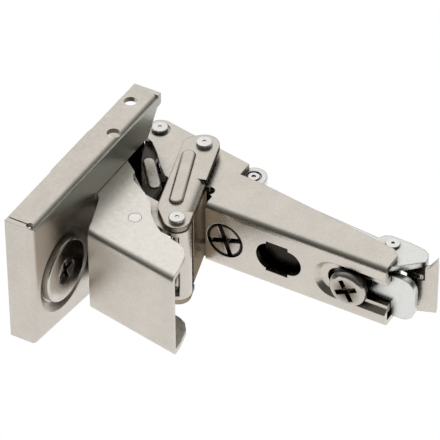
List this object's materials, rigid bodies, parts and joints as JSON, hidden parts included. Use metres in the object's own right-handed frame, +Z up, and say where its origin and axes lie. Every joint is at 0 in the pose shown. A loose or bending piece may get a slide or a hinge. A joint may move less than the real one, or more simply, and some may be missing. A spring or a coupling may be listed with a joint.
{
  "type": "concealed cup hinge",
  "caption": "Concealed cabinet hinge: a clip-on channel arm, a multi-pivot folded-sheet linkage and a shallow pan for the door, with depth and side adjusting screws.",
  "frame": {"origin": "middle of the front hook pin, which locates the hinge on its mounting plate", "axes": "+Z up along every pivot, +X along the arm from the door towards its rear latch, -Y out of the cabinet side towards the adjusting screws"},
  "size_m": [0.0877, 0.0598, 0.0404],
  "materials": {
    "nickel_steel": "satin nickel plate over bent sheet steel",
    "zinc": "bright zinc die casting",
    "bright_steel": "polished nickel plate",
    "screw_steel": "nickel-plated screw steel",
    "spring_steel": "oiled spring wire",
    "plastic": "moulded acetal"
  },
  "bodies": {
    "carrier": {"base_carrier": "zinc", "front_hook_pin": "bright_steel", "rear_latch_pin": "bright_steel", "latch_spring": "spring_steel"},
    "release": {"release_lever": "nickel_steel"},
    "clamp_screw": {"depth_screw": "screw_steel"},
    "clamp": {"clamp_washer": "screw_steel"},
    "arm": {"arm_channel": "nickel_steel", "lever_pin": "bright_steel", "link_pin": "bright_steel", "link_washers": "bright_steel", "lever_sleeve": "plastic", "closing_spring": "spring_steel"},
    "side_screw": {"overlay_screw": "screw_steel"},
    "lever": {"arm_lever": "nickel_steel", "cross_pin": "bright_steel", "cross_washers": "bright_steel", "cover_rivets": "bright_steel"},
    "link": {"outer_link": "nickel_steel", "elbow_pin": "bright_steel"},
    "cross": {"cross_lever": "nickel_steel"},
    "cover": {"cover_link": "nickel_steel"},
    "pan": {"door_pan": "nickel_steel", "pan_cover_rivets": "bright_steel", "pan_cross_rivets": "bright_steel"},
    "pan_screw": {"door_screw": "screw_steel"}
  },
  "joints": [
    {"name": "release_swing", "type": "hinge", "parent": "carrier", "child": "release", "pos_m": [0.0382, -0.0055, 0], "axis": [0, 0, 1], "range_deg": [0, 10], "stiffness_Nm_per_rad": 0.02},
    {"name": "clamp_screw_turn", "type": "hinge", "parent": "carrier", "child": "clamp_screw", "pos_m": [0.0328, -0.0144, 0], "axis": [0, -1, 0], "continuous": true},
    {"name": "side_tilt", "type": "hinge", "parent": "carrier", "child": "clamp", "pos_m": [0.0328, -0.0144, 0], "axis": [0, 0, 1], "range_deg": [-1.2, 1.2]},
    {"name": "depth_slide", "type": "slide", "parent": "clamp", "child": "arm", "axis": [1, 0, 0], "range_m": [-0.002, 0.0025]},
    {"name": "side_screw_turn", "type": "hinge", "parent": "arm", "child": "side_screw", "pos_m": [0.0012, -0.0154, 0], "axis": [0, -1, 0], "range_deg": [-265, 265]},
    {"name": "door_swing", "type": "hinge", "parent": "arm", "child": "lever", "pos_m": [-0.026, 0.0026, 0], "axis": [0, 0, -1], "range_deg": [0, 95]},
    {"name": "link_swing", "type": "hinge", "parent": "arm", "child": "link", "pos_m": [-0.0128, 0, 0], "axis": [0, 0, -1], "range_deg": [0, 95]},
    {"name": "cross_swing", "type": "hinge", "parent": "lever", "child": "cross", "pos_m": [-0.0182, -0.0231, 0], "axis": [0, 0, 1], "range_deg": [0, 95]},
    {"name": "cover_swing", "type": "hinge", "parent": "lever", "child": "cover", "pos_m": [-0.0132, -0.03, 0], "axis": [0, 0, 1], "range_deg": [0, 95]},
    {"name": "pan_swing", "type": "hinge", "parent": "cross", "child": "pan", "pos_m": [-0.032, -0.0109, 0], "axis": [0, 0, -1], "range_deg": [0, 95]},
    {"name": "pan_screw_turn", "type": "hinge", "parent": "pan", "child": "pan_screw", "pos_m": [-0.0248, -0.0414, 0], "axis": [1, 0, 0], "continuous": true}
  ],
  "couplings": [
    {"joint": "link_swing", "follows": "door_swing", "ratio": 1},
    {"joint": "cross_swing", "follows": "door_swing", "ratio": 1},
    {"joint": "cover_swing", "follows": "door_swing", "ratio": 1},
    {"joint": "pan_swing", "follows": "door_swing", "ratio": 1},
    {"joint": "side_screw_turn", "follows": "side_tilt", "ratio": 220.6}
  ]
}
